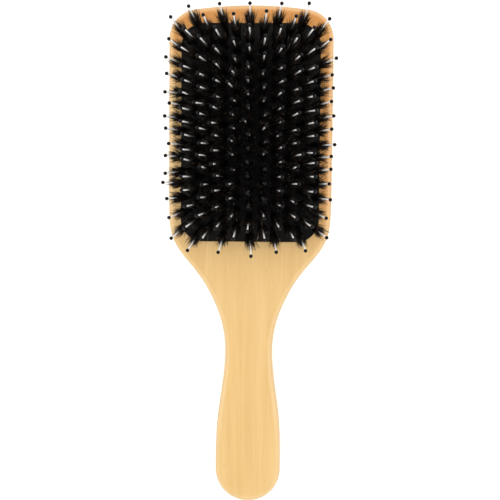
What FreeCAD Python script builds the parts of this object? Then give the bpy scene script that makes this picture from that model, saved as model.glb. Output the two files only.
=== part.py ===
import FreeCAD, Part
import math
import os

# Vanity hairbrush: a wooden paddle with an air cushion, boar bristle tufts and ball-tipped nylon pins.
# Millimetres. X is the width, +Y points from the handle to the head, +Z is the bristle side.
# The flat wooden back lies on z = 0, and the brush is centred on the origin in X and Y.

V = FreeCAD.Vector
Z_AXIS = V(0, 0, 1)

# wooden paddle
LENGTH = 240.0
THICKNESS = 12.0
HALF_HEAD = 39.3
WIDEST_Y = 75.0
SIDE_RADIUS = 6000.0
TOP_RADIUS = 190.0
TOP_CORNER_RADIUS = 14.0
SHOULDER_START_Y = 22.0
HANDLE_HALF_WIDTH = 15.75
HANDLE_END_Y = -LENGTH / 2 + HANDLE_HALF_WIDTH
# right-hand edge from the shoulder through the neck to the widening handle
WAIST = [(37.7, 10.3), (34.7, 3.8), (29.4, -3.0), (22.6, -11.7), (17.2, -21.5), (13.4, -31.4),
         (11.4, -45.0), (12.5, -61.0), (15.1, -81.0)]
FACE_ROUND = 3.3
BACK_ROUND = 3.0

# rubber cushion, with its own centre on the head
CUSHION_Y = 59.2
CUSHION_HALF_X = 33.0
CUSHION_HALF_Y = 51.8
CUSHION_CORNER = 10.5
DOME = 9.0
END_POWER = 6
EDGE_STEP = 0.9
RUBBER = 1.8
FLANGE_Z = 8.3
FLANGE_THICKNESS = 1.6
FLANGE_REACH = 1.9
TUFT_HOLE_R = 1.45
VENT_R = 0.75

# pocket in the wood, undercut by a groove for the cushion's flange
POCKET_FLOOR = 6.0
FIT_GAP = 0.15
GROOVE_REACH = FLANGE_REACH + FIT_GAP

# stations: every second column is staggered by half a row
COLUMNS = 11
COLUMN_PITCH = 5.65
ROW_PITCH = 6.05
ROWS = 16
CORNER_MARGIN = 3.2

# heights below are measured from the rubber's outer face, along the pin
PIN_R = 0.37
PIN_TOP = 21.5
PIN_FOOT = -3.3
PIN_FOOT_R = 0.7
PIN_FOOT_HEIGHT = 0.45
BALL_R = 0.86
BALL_LIFT = BALL_R / 3
BALL_SOCKET_GAP = 0.02
BORE_GAP = 0.07
TUFT_NECK_R = 1.3
TUFT_TIP_R = 2.35
TUFT_TOP = 14.0
TUFT_TIP_TAPER = 1.2
TUFT_FLARE_START = 0.5
TUFT_FOLD_R = 1.75
TUFT_FOLD_TOP = -2.8
TUFT_FOLD_TAPER = 0.3
TUFT_BOTTOM = -4.5
STAPLE_R = 0.25
STAPLE_LENGTH = 4.4
STAPLE_HEIGHT = -3.85
STAPLE_GAP = 0.05

# construction
CUTTER_OVERRUN = 5.0
TOLERANCE = 0.001


def save(name, shape):
    shape.exportStep("parts/" + name + ".step")


def side_x(y):
    """Half-width of the head's slightly bowed side."""
    return HALF_HEAD - (y - WIDEST_Y) ** 2 / (2 * SIDE_RADIUS)


def on_circle(centre_x, centre_y, radius, turn):
    """Point of a circle, turned clockwise from its top."""
    return V(centre_x + radius * math.sin(turn), centre_y + radius * math.cos(turn), 0)


def paddle_outline():
    """Closed outline of the paddle, made of one half and its mirror image."""
    top_centre_y = LENGTH / 2 - TOP_RADIUS
    corner_x = HALF_HEAD - TOP_CORNER_RADIUS
    corner_y = top_centre_y + math.sqrt((TOP_RADIUS - TOP_CORNER_RADIUS) ** 2 - corner_x ** 2)
    lean = math.atan2(corner_x, corner_y - top_centre_y)
    top = V(0, LENGTH / 2, 0)
    top_mid = on_circle(0, top_centre_y, TOP_RADIUS, lean / 2)
    top_end = on_circle(0, top_centre_y, TOP_RADIUS, lean)
    corner_mid = on_circle(corner_x, corner_y, TOP_CORNER_RADIUS, (math.pi / 2 + lean) / 2)
    corner_end = V(HALF_HEAD, corner_y, 0)
    handle_side = V(HANDLE_HALF_WIDTH, HANDLE_END_Y, 0)
    end_mid = on_circle(0, HANDLE_END_Y, HANDLE_HALF_WIDTH, 3 * math.pi / 4)
    tip = V(0, -LENGTH / 2, 0)
    side_mid_y = (WIDEST_Y + SHOULDER_START_Y) / 2
    side_points = [V(side_x(y), y, 0) for y in (WIDEST_Y, side_mid_y, SHOULDER_START_Y)]
    flank = Part.BSplineCurve()
    flank.interpolate(
        Points=[corner_end] + side_points + [V(x, y, 0) for x, y in WAIST] + [handle_side],
        InitialTangent=V(0, -1, 0),
        FinalTangent=V(0, -1, 0),
    )
    half = [
        Part.Arc(top, top_mid, top_end).toShape(),
        Part.Arc(top_end, corner_mid, corner_end).toShape(),
        flank.toShape(),
        Part.Arc(handle_side, end_mid, tip).toShape(),
    ]
    other_half = [edge.mirror(V(0, 0, 0), V(1, 0, 0)) for edge in half]
    return Part.Wire(Part.__sortEdges__(half + other_half))


def rounded_block(half_x, half_y, corner, low, high):
    """Block with rounded corners, centred on the cushion."""
    block = Part.makeBox(2 * half_x, 2 * half_y, high - low, V(-half_x, CUSHION_Y - half_y, low))
    uprights = [edge for edge in block.Edges if edge.BoundBox.ZLength > high - low - TOLERANCE]
    return block.makeFillet(corner, uprights)


def wooden_paddle():
    body = Part.Face(paddle_outline()).extrude(V(0, 0, THICKNESS))
    for level, radius in ((THICKNESS, FACE_ROUND), (0.0, BACK_ROUND)):
        flat = [edge for edge in body.Edges if edge.BoundBox.ZLength < TOLERANCE]
        rim = [edge for edge in flat if abs(edge.BoundBox.ZMin - level) < TOLERANCE]
        body = body.makeFillet(radius, rim)
    half_x = CUSHION_HALF_X + FIT_GAP
    half_y = CUSHION_HALF_Y + FIT_GAP
    corner = CUSHION_CORNER + FIT_GAP
    pocket = rounded_block(half_x, half_y, corner, POCKET_FLOOR, THICKNESS + CUTTER_OVERRUN)
    groove = rounded_block(half_x + GROOVE_REACH, half_y + GROOVE_REACH, corner + GROOVE_REACH,
                           FLANGE_Z, FLANGE_Z + FLANGE_THICKNESS + FIT_GAP)
    return body.cut(pocket).cut(groove)


def dome_height(x, y):
    """Height of the rubber's outer face, with y measured from the cushion's centre."""
    across = 1 - (x / CUSHION_HALF_X) ** 2
    along = 1 - (y / CUSHION_HALF_Y) ** END_POWER
    return THICKNESS + EDGE_STEP + DOME * across * along


def pin_axis(x, y):
    """Direction of a pin. Along the brush every column fans as much as the middle one."""
    slope_x = -2 * DOME * x / CUSHION_HALF_X ** 2 * (1 - (y / CUSHION_HALF_Y) ** END_POWER)
    slope_y = -END_POWER * DOME * y ** (END_POWER - 1) / CUSHION_HALF_Y ** END_POWER
    axis = V(-slope_x, -slope_y, 1)
    axis.normalize()
    return axis


def under_dome(drop):
    """Solid below the dome surface lowered by drop, which is one Bezier patch.

    The poles of 1 - t ** n over -1 to 1, for an even n, are 0 and 2 by turns.
    """
    across = [1 - (-1) ** i for i in range(3)]
    along = [1 - (-1) ** j for j in range(END_POWER + 1)]
    patch = Part.BezierSurface()
    patch.increase(len(across) - 1, len(along) - 1)
    base = THICKNESS + EDGE_STEP - drop
    for i, rise_x in enumerate(across):
        for j, rise_y in enumerate(along):
            x = CUSHION_HALF_X * (i - 1)
            y = CUSHION_Y + CUSHION_HALF_Y * (2 * j / END_POWER - 1)
            patch.setPole(i + 1, j + 1, V(x, y, base + DOME * rise_x * rise_y))
    return patch.toShape().extrude(V(0, 0, -THICKNESS - DOME - CUTTER_OVERRUN))


def stations(column):
    """Places of one column's tufts on the dome, as (x, y) from the cushion's centre."""
    x = (column - (COLUMNS - 1) / 2) * COLUMN_PITCH
    rows = ROWS - (column + 1) % 2
    found = []
    for row in range(rows):
        y = (row - (rows - 1) / 2) * ROW_PITCH
        past_x = max(0, abs(x) - CUSHION_HALF_X + CUSHION_CORNER)
        past_y = max(0, abs(y) - CUSHION_HALF_Y + CUSHION_CORNER)
        if math.hypot(past_x, past_y) <= CUSHION_CORNER - CORNER_MARGIN:
            found.append((x, y))
    return found


def stood_on_dome(shape, x, y):
    """Copy of a shape drawn on the Z axis, moved to a station and turned along its pin."""
    turn = FreeCAD.Rotation(Z_AXIS, pin_axis(x, y))
    copy = shape.copy()
    copy.Placement = FreeCAD.Placement(V(x, CUSHION_Y + y, dome_height(x, y)), turn)
    return copy


def column_of(shape, column):
    return Part.makeCompound([stood_on_dome(shape, x, y) for x, y in stations(column)])


def hole_through_rubber(radius, x, y):
    drill = Part.makeCylinder(radius, 2 * CUTTER_OVERRUN, V(0, 0, -CUTTER_OVERRUN), Z_AXIS)
    return stood_on_dome(drill, x, y)


def rubber_cushion():
    """Domed cover with a flange round its foot, tuft holes and a vent in the middle."""
    top = THICKNESS + DOME + CUTTER_OVERRUN
    skin = rounded_block(CUSHION_HALF_X, CUSHION_HALF_Y, CUSHION_CORNER, FLANGE_Z, top).common(under_dome(0))
    air = rounded_block(CUSHION_HALF_X - RUBBER, CUSHION_HALF_Y - RUBBER, CUSHION_CORNER - RUBBER,
                        FLANGE_Z - RUBBER, top).common(under_dome(RUBBER))
    flange = rounded_block(CUSHION_HALF_X + FLANGE_REACH, CUSHION_HALF_Y + FLANGE_REACH,
                           CUSHION_CORNER + FLANGE_REACH, FLANGE_Z, FLANGE_Z + FLANGE_THICKNESS)
    shell = skin.fuse(flange).cut(air)
    holes = [hole_through_rubber(VENT_R, 0, 0)]
    for column in range(COLUMNS):
        holes += [hole_through_rubber(TUFT_HOLE_R, x, y) for x, y in stations(column)]
    return shell.cut(Part.makeCompound(holes))


def turned(profile):
    """Solid of revolution about Z from (radius, height) points."""
    points = [V(radius, 0, height) for radius, height in profile]
    return Part.Face(Part.makePolygon(points + points[:1])).revolve(V(0, 0, 0), Z_AXIS, 360)


def nylon_pin():
    shaft = Part.makeCylinder(PIN_R, PIN_TOP - PIN_FOOT, V(0, 0, PIN_FOOT), Z_AXIS)
    foot = Part.makeCylinder(PIN_FOOT_R, PIN_FOOT_HEIGHT, V(0, 0, PIN_FOOT), Z_AXIS)
    return shaft.fuse(foot).removeSplitter()


def ball_tip():
    """Ball with a blind socket for the end of its pin."""
    ball = Part.makeSphere(BALL_R, V(0, 0, PIN_TOP + BALL_LIFT))
    depth = 2 * BALL_R
    socket = Part.makeCylinder(PIN_R + BALL_SOCKET_GAP, depth, V(0, 0, PIN_TOP - depth), Z_AXIS)
    return ball.cut(socket)


def rod_along_y(radius, length):
    return Part.makeCylinder(radius, length, V(0, -length / 2, STAPLE_HEIGHT), V(0, 1, 0))


def bristle_tuft():
    """Tuft folded round its staple: a bulb below the rubber, a neck in the hole and a flared brush above."""
    bore = PIN_R + BORE_GAP
    seat = PIN_FOOT_R + BORE_GAP
    seat_top = PIN_FOOT + PIN_FOOT_HEIGHT + BORE_GAP
    outside = [
        (0, TUFT_BOTTOM), (TUFT_NECK_R, TUFT_BOTTOM), (TUFT_FOLD_R, STAPLE_HEIGHT),
        (TUFT_FOLD_R, TUFT_FOLD_TOP), (TUFT_NECK_R, TUFT_FOLD_TOP + TUFT_FOLD_TAPER),
        (TUFT_NECK_R, TUFT_FLARE_START), (TUFT_TIP_R, TUFT_TOP - TUFT_TIP_TAPER), (TUFT_NECK_R, TUFT_TOP),
    ]
    inside = [(bore, TUFT_TOP), (bore, seat_top), (seat, seat_top), (seat, PIN_FOOT), (0, PIN_FOOT)]
    return turned(outside + inside).cut(rod_along_y(STAPLE_R + STAPLE_GAP, 4 * TUFT_FOLD_R))


def staple():
    return rod_along_y(STAPLE_R, STAPLE_LENGTH)


os.makedirs("parts", exist_ok=True)
save("wooden_paddle", wooden_paddle())
save("rubber_cushion", rubber_cushion())
repeated = {"pins": nylon_pin(), "ball_tips": ball_tip(), "tufts": bristle_tuft(), "staples": staple()}
for name, shape in repeated.items():
    for column in range(COLUMNS):
        save("%s_%02d" % (name, column + 1), column_of(shape, column))
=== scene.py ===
import math
import random

import bpy
from mathutils import Matrix, Vector


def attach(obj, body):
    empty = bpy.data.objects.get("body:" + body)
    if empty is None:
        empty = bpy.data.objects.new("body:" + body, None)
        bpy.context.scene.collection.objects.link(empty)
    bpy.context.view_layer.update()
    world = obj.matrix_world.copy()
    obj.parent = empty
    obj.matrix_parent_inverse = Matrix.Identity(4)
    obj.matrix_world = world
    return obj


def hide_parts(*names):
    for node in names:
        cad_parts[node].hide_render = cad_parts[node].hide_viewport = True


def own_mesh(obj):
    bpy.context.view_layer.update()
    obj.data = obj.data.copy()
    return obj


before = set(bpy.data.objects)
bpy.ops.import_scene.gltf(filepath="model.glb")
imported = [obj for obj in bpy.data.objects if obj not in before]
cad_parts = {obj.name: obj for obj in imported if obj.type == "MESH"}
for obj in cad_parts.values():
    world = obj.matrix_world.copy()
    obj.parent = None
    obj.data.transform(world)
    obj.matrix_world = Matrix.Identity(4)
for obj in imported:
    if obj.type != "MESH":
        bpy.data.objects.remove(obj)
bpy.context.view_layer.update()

# sizes are in millimetres up to the point where a mesh is made, and MM turns them into metres
MM = 0.001

# ---------------------------------------------------------------- the dome that everything stands on
# the cushion's middle, half-sizes and corner radius, repeated from the CAD source like all of this part
CUSHION_Y = 59.2
HALF_X = 33.0
HALF_Y = 51.8
CORNER = 10.5
# the wood's upper face, the rubber's step above it, and the dome's rise in the middle
RIM_Z = 12.0
EDGE_STEP = 0.9
DOME = 9.0
# the dome is a parabola across, and flatter along, with steep ends
END_POWER = 6
RUBBER_THICK = 1.8
FLANGE_Z = 8.3
FLANGE_TOP = 9.9
FLANGE_REACH = 1.9

# the tufts' places: columns across, rows along, every second column half a row further on
COLUMNS = 11
COLUMN_PITCH = 5.65
ROWS = 16
ROW_PITCH = 6.05
# no tuft's middle is closer to the cushion's edge than this
TUFT_MARGIN = 3.2


def dome_height(x, y):
    """Height of the rubber's upper side, at a place counted from the cushion's middle."""
    return RIM_Z + EDGE_STEP + DOME * (1 - (x / HALF_X) ** 2) * (1 - (y / HALF_Y) ** END_POWER)


def pin_axis(x, y):
    """Direction of a pin: across the brush the dome's normal, along it the normal on the middle line."""
    slope_x = -2 * DOME * x / HALF_X ** 2 * (1 - (y / HALF_Y) ** END_POWER)
    slope_y = -END_POWER * DOME * y ** (END_POWER - 1) / HALF_Y ** END_POWER
    return Vector((-slope_x, -slope_y, 1)).normalized()


def stations(column):
    """Places of one column's tufts, counted from the cushion's middle."""
    x = (column - (COLUMNS - 1) / 2) * COLUMN_PITCH
    rows = ROWS - (column + 1) % 2
    found = []
    for row in range(rows):
        y = (row - (rows - 1) / 2) * ROW_PITCH
        past = math.hypot(max(0, abs(x) - HALF_X + CORNER), max(0, abs(y) - HALF_Y + CORNER))
        if past <= CORNER - TUFT_MARGIN:
            found.append((x, y))
    return found


# ---------------------------------------------------------------- small mesh helpers
class Mesh:
    """Vertices in millimetres, with one number per vertex that the materials can read."""

    def __init__(self):
        self.points = []
        self.faces = []
        self.shade = []

    def add(self, point, shade=0.0):
        self.points.append(point)
        self.shade.append(shade)
        return len(self.points) - 1

    def ring(self, centre, side, up, radius, count, shade):
        """Circle of points. Returns the first one's index."""
        first = len(self.points)
        for k in range(count):
            a = 2 * math.pi * k / count
            self.add(centre + side * (radius * math.cos(a)) + up * (radius * math.sin(a)), shade)
        return first

    def join_rings(self, starts, count, cap_start=True):
        """Faces between rings, each given by its first point, and over the ends."""
        for low, high in zip(starts, starts[1:]):
            for k in range(count):
                n = (k + 1) % count
                self.faces.append((low + k, low + n, high + n, high + k))
        if cap_start:
            self.faces.append(tuple(starts[0] + k for k in reversed(range(count))))
        self.faces.append(tuple(starts[-1] + k for k in range(count)))

    def tube(self, path, radii, count, shade=0.0, cap_start=True):
        """Tube along a list of points, with a radius for each."""
        along = (path[1] - path[0]).normalized()
        side = along.orthogonal().normalized()
        starts = []
        for k, point in enumerate(path):
            ahead = path[min(k + 1, len(path) - 1)] - path[max(k - 1, 0)]
            along = ahead.normalized()
            side = (side - along * side.dot(along)).normalized()
            starts.append(self.ring(point, side, along.cross(side), radii[k], count, shade))
        self.join_rings(starts, count, cap_start)

    def make(self, name, material):
        """Object in metres, shaded smooth."""
        data = bpy.data.meshes.new(name)
        data.from_pydata([tuple(p * MM) for p in self.points], [], self.faces)
        layer = data.attributes.new("shade", "FLOAT", "POINT")
        layer.data.foreach_set("value", self.shade)
        data.polygons.foreach_set("use_smooth", [True] * len(data.polygons))
        data.materials.append(material)
        data.update()
        piece = bpy.data.objects.new(name, data)
        bpy.context.scene.collection.objects.link(piece)
        return piece


# ---------------------------------------------------------------- materials
class Nodes:
    """Thin layer over a material's node tree."""

    def __init__(self, name):
        self.material = bpy.data.materials.new(name)
        self.material.use_nodes = True
        self.tree = self.material.node_tree
        self.shader = next(n for n in self.tree.nodes if n.type == "BSDF_PRINCIPLED")

    def set(self, **values):
        for key, value in values.items():
            self.shader.inputs[key.replace("_", " ")].default_value = value

    def node(self, kind, inputs=None, **settings):
        made = self.tree.nodes.new("ShaderNode" + kind)
        for key, value in settings.items():
            setattr(made, key, value)
        for key, value in (inputs or {}).items():
            if hasattr(value, "is_output"):
                self.tree.links.new(value, made.inputs[key])
            else:
                made.inputs[key].default_value = value
        return made

    def link(self, output, key):
        self.tree.links.new(output, self.shader.inputs[key])

    def coordinates(self):
        return self.node("TexCoord").outputs["Object"]

    def stretch(self, vector, scale):
        """Coordinates in which a pattern gets longer where the scale is below 1."""
        return self.node("Mapping", {"Vector": vector, "Scale": scale}).outputs["Vector"]

    def object_place(self, scale=(1, 1, 1)):
        return self.stretch(self.coordinates(), scale)

    def noise(self, vector, scale, detail=4.0, rough=0.55):
        inputs = {"Vector": vector, "Scale": scale, "Detail": detail, "Roughness": rough}
        return self.node("TexNoise", inputs).outputs["Fac"]

    def ramp(self, value, stops):
        """Colour that changes with a value, as a list of (place, colour)."""
        made = self.node("ValToRGB", {"Fac": value})
        while len(made.color_ramp.elements) < len(stops):
            made.color_ramp.elements.new(0.5)
        for element, (place, colour) in zip(made.color_ramp.elements, stops):
            element.position = place
            element.color = (*colour, 1.0)
        return made.outputs["Color"]

    def span(self, value, low, high, to_low, to_high):
        """The value's stretch from low to high becomes to_low to to_high, and stays there beyond."""
        inputs = {"Value": value, "From Min": low, "From Max": high, "To Min": to_low, "To Max": to_high}
        return self.node("MapRange", inputs).outputs["Result"]

    def math(self, operation, a, b):
        return self.node("Math", {0: a, 1: b}, operation=operation).outputs["Value"]

    def mix(self, factor, a, b):
        """Colour a where the factor is 0 and colour b where it is 1."""
        made = self.node("Mix", data_type="RGBA")
        for socket, value in ((made.inputs[0], factor), (made.inputs[6], a), (made.inputs[7], b)):
            if hasattr(value, "is_output"):
                self.tree.links.new(value, socket)
            elif isinstance(value, tuple):
                socket.default_value = (*value, 1.0)
            else:
                socket.default_value = value
        return made.outputs[2]

    def bump(self, height, strength, distance):
        made = self.node("Bump", {"Height": height, "Strength": strength, "Distance": distance})
        self.link(made.outputs["Normal"], "Normal")


def wood():
    m = Nodes("paddle_wood")
    coords = m.coordinates()
    # the grain runs along the handle and wanders a few millimetres from side to side
    wander = m.noise(m.object_place((1, 0.25, 1)), 40.0, 2.0)
    sideways = m.node("CombineXYZ", {"X": m.span(wander, 0, 1, -0.004, 0.004)}).outputs["Vector"]
    grain = m.node("VectorMath", {0: coords, 1: sideways}, operation="ADD").outputs["Vector"]
    # long soft bands, finer fibres, short pores and paler clouds
    bands = m.noise(m.stretch(grain, (1, 0.045, 0.6)), 130.0, 3.0, 0.5)
    fibres = m.noise(m.stretch(grain, (1, 0.03, 1)), 900.0, 4.0, 0.6)
    pores = m.noise(m.stretch(grain, (1, 0.09, 1)), 2200.0, 2.0, 0.5)
    cloud = m.noise(m.object_place(), 26.0, 2.0)
    tones = [
        (0.25, (0.760, 0.465, 0.155)),
        (0.5, (0.835, 0.540, 0.200)),
        (0.75, (0.885, 0.605, 0.255)),
    ]
    base = m.ramp(bands, tones)
    base = m.mix(m.span(fibres, 0.35, 0.7, 0.0, 0.22), base, (0.62, 0.36, 0.12))
    base = m.mix(m.span(pores, 0.62, 0.78, 0.0, 0.30), base, (0.50, 0.27, 0.09))
    base = m.mix(m.span(cloud, 0.3, 0.7, 0.0, 0.18), base, (0.93, 0.66, 0.33))
    # painted shade: the head's top and right rim, next to the bristles, are tinted darker and redder on
    # their upward faces, standing in for the bristles' shade and the warm light they bounce
    split = m.node("SeparateXYZ", {"Vector": coords}).outputs
    along = m.math("ADD", split["Y"], m.span(wander, 0, 1, -0.006, 0.006))
    top_rim_shade = m.span(along, 0.078, 0.110, 0.0, 0.95)
    in_head = m.span(split["Y"], 0.0, 0.03, 0.0, 1.0)
    right_rim_shade = m.math("MULTIPLY", m.span(split["X"], 0.022, 0.036, 0.0, 0.85), in_head)
    normal = m.node("NewGeometry").outputs["Normal"]
    facing = m.node("SeparateXYZ", {"Vector": normal}).outputs["Z"]
    on_face = m.span(facing, 0.35, 0.95, 0.3, 1.0)
    # painted shade and bounce light on the rims by the bristles
    painted_rim_shade = m.math("MULTIPLY", m.math("MAXIMUM", top_rim_shade, right_rim_shade), on_face)
    base = m.mix(painted_rim_shade, base, (0.80, 0.330, 0.060))
    # painted shade: the board's steep sides are darkened, standing in for the dark line along the outline
    # where they reflect the darker surroundings
    tilt = m.math("ABSOLUTE", facing, 0.0)
    side = m.span(tilt, 0.16, 0.66, 0.7, 0.0)
    base = m.mix(side, base, (0.47, 0.32, 0.165))
    # painted highlight: a pale band where the edge rounds over, standing in for the light that the rounded
    # edge catches
    painted_edge_highlight = m.math("MULTIPLY", m.span(tilt, 0.60, 0.76, 0.0, 0.35), m.span(tilt, 0.90, 0.99, 1.0, 0.0))
    base = m.mix(painted_edge_highlight, base, (0.95, 0.70, 0.38))
    m.link(base, "Base Color")
    rough = m.math("ADD", m.span(fibres, 0.3, 0.7, 0.36, 0.46), m.span(cloud, 0.3, 0.7, -0.03, 0.05))
    m.link(rough, "Roughness")
    m.set(Coat_Weight=0.4, Coat_Roughness=0.16)
    m.bump(m.math("ADD", m.math("MULTIPLY", fibres, 0.5), m.math("MULTIPLY", pores, 0.5)), 0.16, 0.0002)
    return m.material


def rubber():
    m = Nodes("cushion_rubber")
    place = m.object_place()
    speckle = m.noise(place, 2600.0, 3.0)
    dust = m.noise(place, 90.0, 5.0)
    dusty = m.span(dust, 0.42, 0.75, 0.0, 0.5)
    m.link(m.mix(dusty, (0.003, 0.003, 0.0034), (0.010, 0.0095, 0.009)), "Base Color")
    m.link(m.span(speckle, 0.3, 0.7, 0.55, 0.75), "Roughness")
    m.set(Specular_IOR_Level=0.1)
    m.bump(speckle, 0.25, 0.0002)
    return m.material


def bristle():
    m = Nodes("boar_bristle")
    shade = m.node("Attribute", attribute_name="shade").outputs["Fac"]
    mottle = m.noise(m.object_place(), 700.0, 2.0)
    # each strand has its own tone: most are black; the brown ones and the few nearly white ones are painted
    # glints, standing in for light caught on bristle tips
    tones = [
        (0.0, (0.004, 0.0037, 0.0035)),
        (0.6, (0.008, 0.0065, 0.006)),
        (0.88, (0.026, 0.016, 0.010)),
        (0.97, (0.110, 0.062, 0.034)),
        (1.0, (0.400, 0.340, 0.280)),
    ]
    colour = m.ramp(shade, tones)
    m.link(m.mix(m.span(mottle, 0.35, 0.7, 0.0, 0.35), colour, (0.002, 0.002, 0.002)), "Base Color")
    m.link(m.span(mottle, 0.3, 0.7, 0.32, 0.5), "Roughness")
    m.set(Specular_IOR_Level=0.3)
    m.bump(mottle, 0.2, 0.0001)
    return m.material


def nylon():
    m = Nodes("nylon_pin")
    place = m.object_place()
    cloud = m.noise(place, 500.0, 3.0)
    fine = m.noise(place, 3000.0, 2.0)
    m.link(m.mix(m.span(cloud, 0.3, 0.7, 0.0, 1.0), (1.0, 0.99, 0.98), (0.94, 0.93, 0.92)), "Base Color")
    m.link(m.span(fine, 0.3, 0.7, 0.16, 0.28), "Roughness")
    m.set(Transmission_Weight=0.05, IOR=1.45)
    m.set(Subsurface_Weight=0.5, Subsurface_Scale=0.001, Subsurface_Radius=(1.0, 0.95, 0.9))
    m.bump(fine, 0.08, 0.0001)
    return m.material


def ball_black():
    m = Nodes("ball_tip")
    scuffs = m.noise(m.object_place(), 1800.0, 4.0)
    scuffed = m.span(scuffs, 0.5, 0.75, 0.0, 0.6)
    m.link(m.mix(scuffed, (0.006, 0.006, 0.007), (0.028, 0.027, 0.026)), "Base Color")
    m.link(m.span(scuffs, 0.3, 0.7, 0.18, 0.34), "Roughness")
    m.set(Specular_IOR_Level=0.15)
    m.bump(scuffs, 0.08, 0.0001)
    return m.material


def steel():
    m = Nodes("staple_wire")
    drawn = m.noise(m.object_place((1, 0.05, 1)), 4000.0, 3.0)
    m.link(m.mix(m.span(drawn, 0.3, 0.7, 0.0, 1.0), (0.62, 0.60, 0.57), (0.42, 0.41, 0.40)), "Base Color")
    m.link(m.span(drawn, 0.3, 0.7, 0.25, 0.42), "Roughness")
    m.set(Metallic=1.0)
    m.bump(drawn, 0.1, 0.00005)
    return m.material


def floor_white():
    m = Nodes("floor_white")
    m.set(Base_Color=(0.94, 0.94, 0.94, 1.0), Roughness=0.9, Specular_IOR_Level=0.0)
    m.set(Emission_Color=(1, 1, 1, 1), Emission_Strength=0.30)
    return m.material


WOOD = wood()
RUBBER = rubber()
BRISTLE = bristle()
NYLON = nylon()
BALL = ball_black()
STEEL = steel()


# ---------------------------------------------------------------- CAD nodes that stay
def dress(node, material):
    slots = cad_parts[node].data.materials
    slots.clear()
    slots.append(material)


dress("wooden_paddle", WOOD)
for column in range(COLUMNS):
    dress("staples_%02d" % (column + 1), STEEL)


# ---------------------------------------------------------------- rubber cushion
# a raised ring round every tuft, and a dimple where the tuft goes in
COLLAR_RADIUS = 1.9
COLLAR_WIDTH = 0.45
COLLAR_HEIGHT = 0.38
DIMPLE_RADIUS = 1.1
DIMPLE_DEPTH = 0.3
# size of the squares in which the nearest tuft is looked up, and a distance past any collar
CELL = 3.0
FAR = 9.0
# how far in from its edge the skin starts to round down to the wood's face
ROLL_WIDTH = 1.0
# squares in the skin across and along
GRID = (150, 238)


def edge_x(y):
    """Half-width of the cushion at a distance from its middle."""
    past = max(0.0, abs(y) - HALF_Y + CORNER)
    return HALF_X - CORNER + math.sqrt(max(0.0, CORNER ** 2 - past ** 2))


def outset(point, reach, z):
    """Point of the cushion's edge, moved outwards by reach and set at a height."""
    x, y = point.x, point.y - CUSHION_Y
    past_x = max(0.0, abs(x) - HALF_X + CORNER)
    past_y = max(0.0, abs(y) - HALF_Y + CORNER)
    grow = reach / math.hypot(past_x, past_y)
    x += math.copysign(past_x * grow, x)
    y += math.copysign(past_y * grow, y)
    return Vector((x, CUSHION_Y + y, z))


def collars():
    """Function of a place that gives the height that the moulded collars add to the skin there."""
    near = {}
    for column in range(COLUMNS):
        for x, y in stations(column):
            near.setdefault((round(x / CELL), round(y / CELL)), []).append((x, y))

    def relief(x, y):
        best = FAR
        for i in (-1, 0, 1):
            for j in (-1, 0, 1):
                for tuft_x, tuft_y in near.get((round(x / CELL) + i, round(y / CELL) + j), ()):
                    best = min(best, math.hypot(x - tuft_x, y - tuft_y))
        collar = COLLAR_HEIGHT * math.exp(-((best - COLLAR_RADIUS) / COLLAR_WIDTH) ** 2)
        dimple = DIMPLE_DEPTH * math.exp(-(best / DIMPLE_RADIUS) ** 4)
        return collar - dimple

    return relief


def cushion():
    """Hollow rubber shell: a domed skin with a collar round every tuft, and a flange that the wood grips."""
    mesh = Mesh()
    across, along = GRID
    relief = collars()

    def skin_point(x, y, wide):
        inward = min(wide - abs(x), HALF_Y - abs(y), ROLL_WIDTH)
        roll = EDGE_STEP * (1 - math.sqrt(max(0.0, 1 - (1 - inward / ROLL_WIDTH) ** 2)))
        return Vector((x, CUSHION_Y + y, dome_height(x, y) + relief(x, y) - roll))

    def under_point(x, y, _wide):
        x *= 1 - RUBBER_THICK / HALF_X
        y *= 1 - RUBBER_THICK / HALF_Y
        return Vector((x, CUSHION_Y + y, dome_height(x, y) - RUBBER_THICK))

    def layer(place, upward):
        """Grid of points, with its faces, and the loop of its border."""
        rows = []
        for j in range(along + 1):
            y = HALF_Y * (2 * j / along - 1)
            wide = edge_x(y)
            rows.append([mesh.add(place(wide * (2 * i / across - 1), y, wide)) for i in range(across + 1)])
        for low, high in zip(rows, rows[1:]):
            for i in range(across):
                face = (low[i], low[i + 1], high[i + 1], high[i])
                mesh.faces.append(face if upward else face[::-1])
        right_side = [row[-1] for row in rows[1:]]
        left_side = [row[0] for row in rows[-2:0:-1]]
        return rows[0] + right_side + rows[-1][-2::-1] + left_side

    border = layer(skin_point, True)
    edge = [mesh.points[index] for index in border]
    loops = [border]
    # down the side wall, out along the flange, down its edge, and back in underneath
    section = (
        (0.0, FLANGE_TOP),
        (FLANGE_REACH, FLANGE_TOP),
        (FLANGE_REACH, FLANGE_Z),
        (-RUBBER_THICK, FLANGE_Z),
    )
    for reach, z in section:
        loops.append([mesh.add(outset(point, reach, z)) for point in edge])
    loops.append(layer(under_point, False))
    for upper, lower in zip(loops, loops[1:]):
        for k in range(len(upper)):
            n = (k + 1) % len(upper)
            mesh.faces.append((upper[k], lower[k], lower[n], upper[n]))
    return mesh.make("air_cushion", RUBBER)


skin = cushion()
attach(skin, "paddle")
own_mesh(skin)
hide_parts("rubber_cushion")


# ---------------------------------------------------------------- pins, tips and bristles
# lengths are counted up from the rubber's upper side, and the root's and foot's depths down from it
PIN_LENGTH = 21.5
PIN_ROOT = 2.9
# the shaft's radius at even steps from the root to the ball
PIN_RADII = [0.37, 0.37, 0.37, 0.37, 0.36, 0.36, 0.35]
PIN_SIDES = 12
FOOT_TOP = 2.85
FOOT_BOTTOM = 3.3
FOOT_RADIUS = 0.7
BALL_RADIUS = 0.86
BALL_LIFT = 0.25
BALL_RINGS = 9
BALL_SIDES = 14
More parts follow.
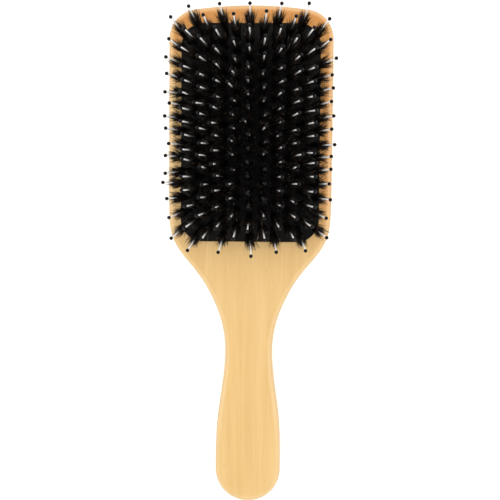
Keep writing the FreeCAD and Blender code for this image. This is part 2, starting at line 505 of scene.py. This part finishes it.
# how much one pin strays from the next: lean in degrees, length and bow in millimetres
LEAN_SPREAD = 2.6
LENGTH_SPREAD = 0.35
BOW_SPREAD = 0.12

# a tuft's strands start inside the rubber's skin, and go on down to the fold round the staple
STRANDS = 190
TUFT_RADIUS = 1.2
SKIN_DEPTH = 0.6
FOLD_DEPTH = 2.1
# no strand starts closer to the tuft's middle than this, because the pin is there
PIN_CLEARANCE = 0.6
# how long a tuft is, and how much the tufts and the strands in one tuft differ
TUFT_LENGTH = 14.8
TUFT_LENGTH_SPREAD = 0.5
STRAND_LENGTH_SPREAD = 0.9
# how far a strand's tip opens out: a little, and more the further out it starts
LEAST_OPENING = 0.2
OPENING = (0.7, 2.0)
# some strands hug the pin and run up along it, a few are long, and a few splay wide
HUGGING_SHARE = (0.12, 0.5)
HUGGING_OPENING = (-0.3, 0.8)
HUGGING_EXTRA = (0.0, 1.8)
LONG_SHARE = 0.05
LONG_EXTRA = (0.5, 2.2)
WIDE_SHARE = 0.06
WIDE_FACTOR = 1.7
STRAY_SPREAD = 0.45
# at this share of a strand's length, how much of its opening and of its straying is done
MIDDLE = 0.55
MIDDLE_OPENING = 0.36
MIDDLE_STRAY = 0.25
STRAND_RADIUS = (0.085, 0.125)
STRAND_SIDES = 3
# share of that radius at each point, from the root to the tip
STRAND_TAPER = (1, 1, 1, 1, 0.85, 0.4)
# one seed for each column keeps every run the same
FIRST_SEED = 400


def pin_frame(x, y, rng):
    """Point on the dome, the pin's direction as designed, and one that strays a little from it."""
    base = Vector((x, CUSHION_Y + y, dome_height(x, y)))
    normal = pin_axis(x, y)
    side = normal.orthogonal().normalized()
    other = normal.cross(side)
    lean = math.radians(rng.gauss(0, LEAN_SPREAD))
    around = rng.uniform(0, 2 * math.pi)
    axis = (normal + (side * math.cos(around) + other * math.sin(around)) * math.tan(lean)).normalized()
    return base, normal, axis


def ball(mesh, centre, axis):
    side = axis.orthogonal().normalized()
    up = axis.cross(side)
    starts = []
    for k in range(1, BALL_RINGS):
        a = math.pi * k / BALL_RINGS
        middle = centre - axis * (BALL_RADIUS * math.cos(a))
        starts.append(mesh.ring(middle, side, up, BALL_RADIUS * math.sin(a), BALL_SIDES, 0.0))
    mesh.join_rings(starts, BALL_SIDES)


def pin(pins, tips, base, axis, rng):
    """Shaft with its foot, and the ball on its end."""
    top = PIN_LENGTH + rng.gauss(0, LENGTH_SPREAD)
    bow = axis.orthogonal() * rng.gauss(0, BOW_SPREAD)
    path = []
    for k in range(len(PIN_RADII)):
        t = k / (len(PIN_RADII) - 1)
        path.append(base + axis * (top * t - PIN_ROOT * (1 - t)) + bow * math.sin(math.pi * t))
    pins.tube(path, PIN_RADII, PIN_SIDES)
    pins.tube([base - axis * FOOT_BOTTOM, base - axis * FOOT_TOP], [FOOT_RADIUS] * 2, PIN_SIDES)
    ball(tips, base + axis * (top + BALL_LIFT), (path[-1] - path[-2]).normalized())


def strands(mesh, base, normal, axis, rng, count):
    """One tuft. It opens upwards, with some strands that hug the pin and some that stray."""
    side = axis.orthogonal().normalized()
    other = axis.cross(side)
    tuft_length = rng.gauss(TUFT_LENGTH, TUFT_LENGTH_SPREAD)
    hugging = rng.uniform(*HUGGING_SHARE)
    parts = len(STRAND_TAPER) - 2
    for _ in range(count):
        a = rng.uniform(0, 2 * math.pi)
        r = TUFT_RADIUS * math.sqrt(rng.random())
        out = side * math.cos(a) + other * math.sin(a)
        foot = base + out * max(r, PIN_CLEARANCE) - normal * SKIN_DEPTH
        length = rng.gauss(tuft_length, STRAND_LENGTH_SPREAD)
        if rng.random() < LONG_SHARE:
            length += rng.uniform(*LONG_EXTRA)
        opening = LEAST_OPENING + r * rng.uniform(*OPENING)
        if rng.random() < hugging:
            opening = rng.uniform(*HUGGING_OPENING)
            length += rng.uniform(*HUGGING_EXTRA)
        if rng.random() < WIDE_SHARE:
            opening *= WIDE_FACTOR
        stray = Vector((rng.gauss(0, STRAY_SPREAD), rng.gauss(0, STRAY_SPREAD), 0))
        tip = foot + axis * length + out * opening + stray
        middle = foot + axis * (length * MIDDLE) + out * (opening * MIDDLE_OPENING) + stray * MIDDLE_STRAY
        # down through the rubber to the fold, then a curve that passes the middle point
        bend = middle * 2 - (foot + tip) / 2
        path = [foot - normal * FOLD_DEPTH]
        for k in range(parts + 1):
            t = k / parts
            path.append(foot * (1 - t) ** 2 + bend * (2 * t * (1 - t)) + tip * t ** 2)
        shade = rng.random()
        radius = rng.uniform(*STRAND_RADIUS)
        mesh.tube(path, [radius * share for share in STRAND_TAPER], STRAND_SIDES, shade, cap_start=False)


def column_pieces(column):
    """The pins, ball tips and bristles of one column, which lean with it."""
    number = "%02d" % (column + 1)
    body = "column_" + number
    rng = random.Random(FIRST_SEED + column)
    per_tuft = STRANDS
    pins, tips, tufts = Mesh(), Mesh(), Mesh()
    for x, y in stations(column):
        base, normal, axis = pin_frame(x, y, rng)
        pin(pins, tips, base, axis, rng)
        strands(tufts, base, normal, axis, rng, per_tuft)
    for mesh, name, material, node, slot in (
        (pins, "pin_shafts_" + number, NYLON, "pins_" + number, "nylon_pin"),
        (tips, "pin_balls_" + number, BALL, "ball_tips_" + number, "ball_tip"),
        (tufts, "bristles_" + number, BRISTLE, "tufts_" + number, "boar_bristle"),
    ):
        piece = mesh.make(name, material)
        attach(piece, body)
        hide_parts(node)


for column in range(COLUMNS):
    column_pieces(column)


# ---------------------------------------------------------------- studio, in metres
WARM_WHITE = (1.0, 0.985, 0.965)
WORLD_STRENGTH = 0.5
FLOOR_REACH = 3.0
# a hair below the brush, so that the two faces don't lie in one plane
FLOOR_Z = -0.0002

# the camera looks almost straight down on the brush; its tilts and roll are in degrees
SENSOR = 36.0
LENS = 62.1
TARGET = Vector((0.0002, 0.0031, 0.008))
DISTANCE = 0.4185
TILT_X = 1.9
TILT_Y = 3.0
ROLL = 0.50


def floor_plane():
    data = bpy.data.meshes.new("floor")
    turns = ((-1, -1), (1, -1), (1, 1), (-1, 1))
    corners = [(FLOOR_REACH * x, FLOOR_REACH * y, FLOOR_Z) for x, y in turns]
    data.from_pydata(corners, [], [(0, 1, 2, 3)])
    data.materials.append(floor_white())
    piece = bpy.data.objects.new("floor", data)
    bpy.context.scene.collection.objects.link(piece)
    return piece


def area_light(name, place, target, size, power):
    data = bpy.data.lights.new(name, "AREA")
    data.shape = "SQUARE"
    data.size = size
    data.energy = power
    data.color = WARM_WHITE
    lamp = bpy.data.objects.new(name, data)
    lamp.location = place
    lamp.rotation_euler = (Vector(target) - Vector(place)).to_track_quat("-Z", "Y").to_euler()
    bpy.context.scene.collection.objects.link(lamp)
    return lamp


def light_studio():
    # a soft light from the front that leaves no mirror image on the varnish
    front = area_light("front", (0.02, 0.05, 1.2), (0, 0.02, 0), 0.5, 3.0)
    front.visible_glossy = False
    lamps = [
        front,
        # high fills, one on each side, so that no rim lies in the bristles' shade
        area_light("fill_left", (-0.42, 0.04, 0.95), (0, 0.02, 0), 0.3, 0.45),
        area_light("fill_right", (0.42, 0.04, 0.95), (0, 0.02, 0), 0.3, 0.4),
        area_light("fill_head", (0.0, 0.6, 0.95), (0, 0.02, 0), 0.3, 0.5),
        area_light("fill_handle", (0.0, -0.78, 0.95), (0, 0.02, 0), 0.3, 0.95),
        # low ones that brighten the rounded edges
        area_light("strip_left", (-0.75, 0.05, 0.42), (0, 0.02, 0.01), 0.5, 1.5),
        area_light("strip_right", (0.75, 0.0, 0.42), (0, 0.0, 0.01), 0.5, 1.5),
        area_light("strip_head", (0.0, 0.85, 0.45), (0, 0.1, 0.01), 0.5, 1.0),
        area_light("strip_handle", (0.0, -0.85, 0.5), (0, -0.05, 0.01), 0.5, 0.9),
    ]
    floor = floor_plane()
    world = bpy.data.worlds.new("studio")
    world.use_nodes = True
    background = world.node_tree.nodes["Background"].inputs
    background["Color"].default_value = (1, 1, 1, 1)
    background["Strength"].default_value = WORLD_STRENGTH
    scene = bpy.context.scene
    scene.world = world
    scene.view_settings.view_transform = "Standard"
    scene.view_settings.look = "None"


def place_camera():
    data = bpy.data.cameras.new("camera")
    data.sensor_width = SENSOR
    data.lens = LENS
    camera = bpy.data.objects.new("camera", data)
    tilt = Vector((math.tan(math.radians(TILT_X)), math.tan(math.radians(TILT_Y)), 1))
    place = TARGET + tilt.normalized() * DISTANCE
    back = (place - TARGET).normalized()
    right = Vector((0, 1, 0)).cross(back).normalized()
    turn = Matrix((right, back.cross(right), back)).transposed().to_4x4()
    roll = Matrix.Rotation(math.radians(ROLL), 4, "Z")
    camera.matrix_world = Matrix.Translation(place) @ turn @ roll
    bpy.context.scene.collection.objects.link(camera)
    bpy.context.scene.camera = camera


light_studio()
place_camera()
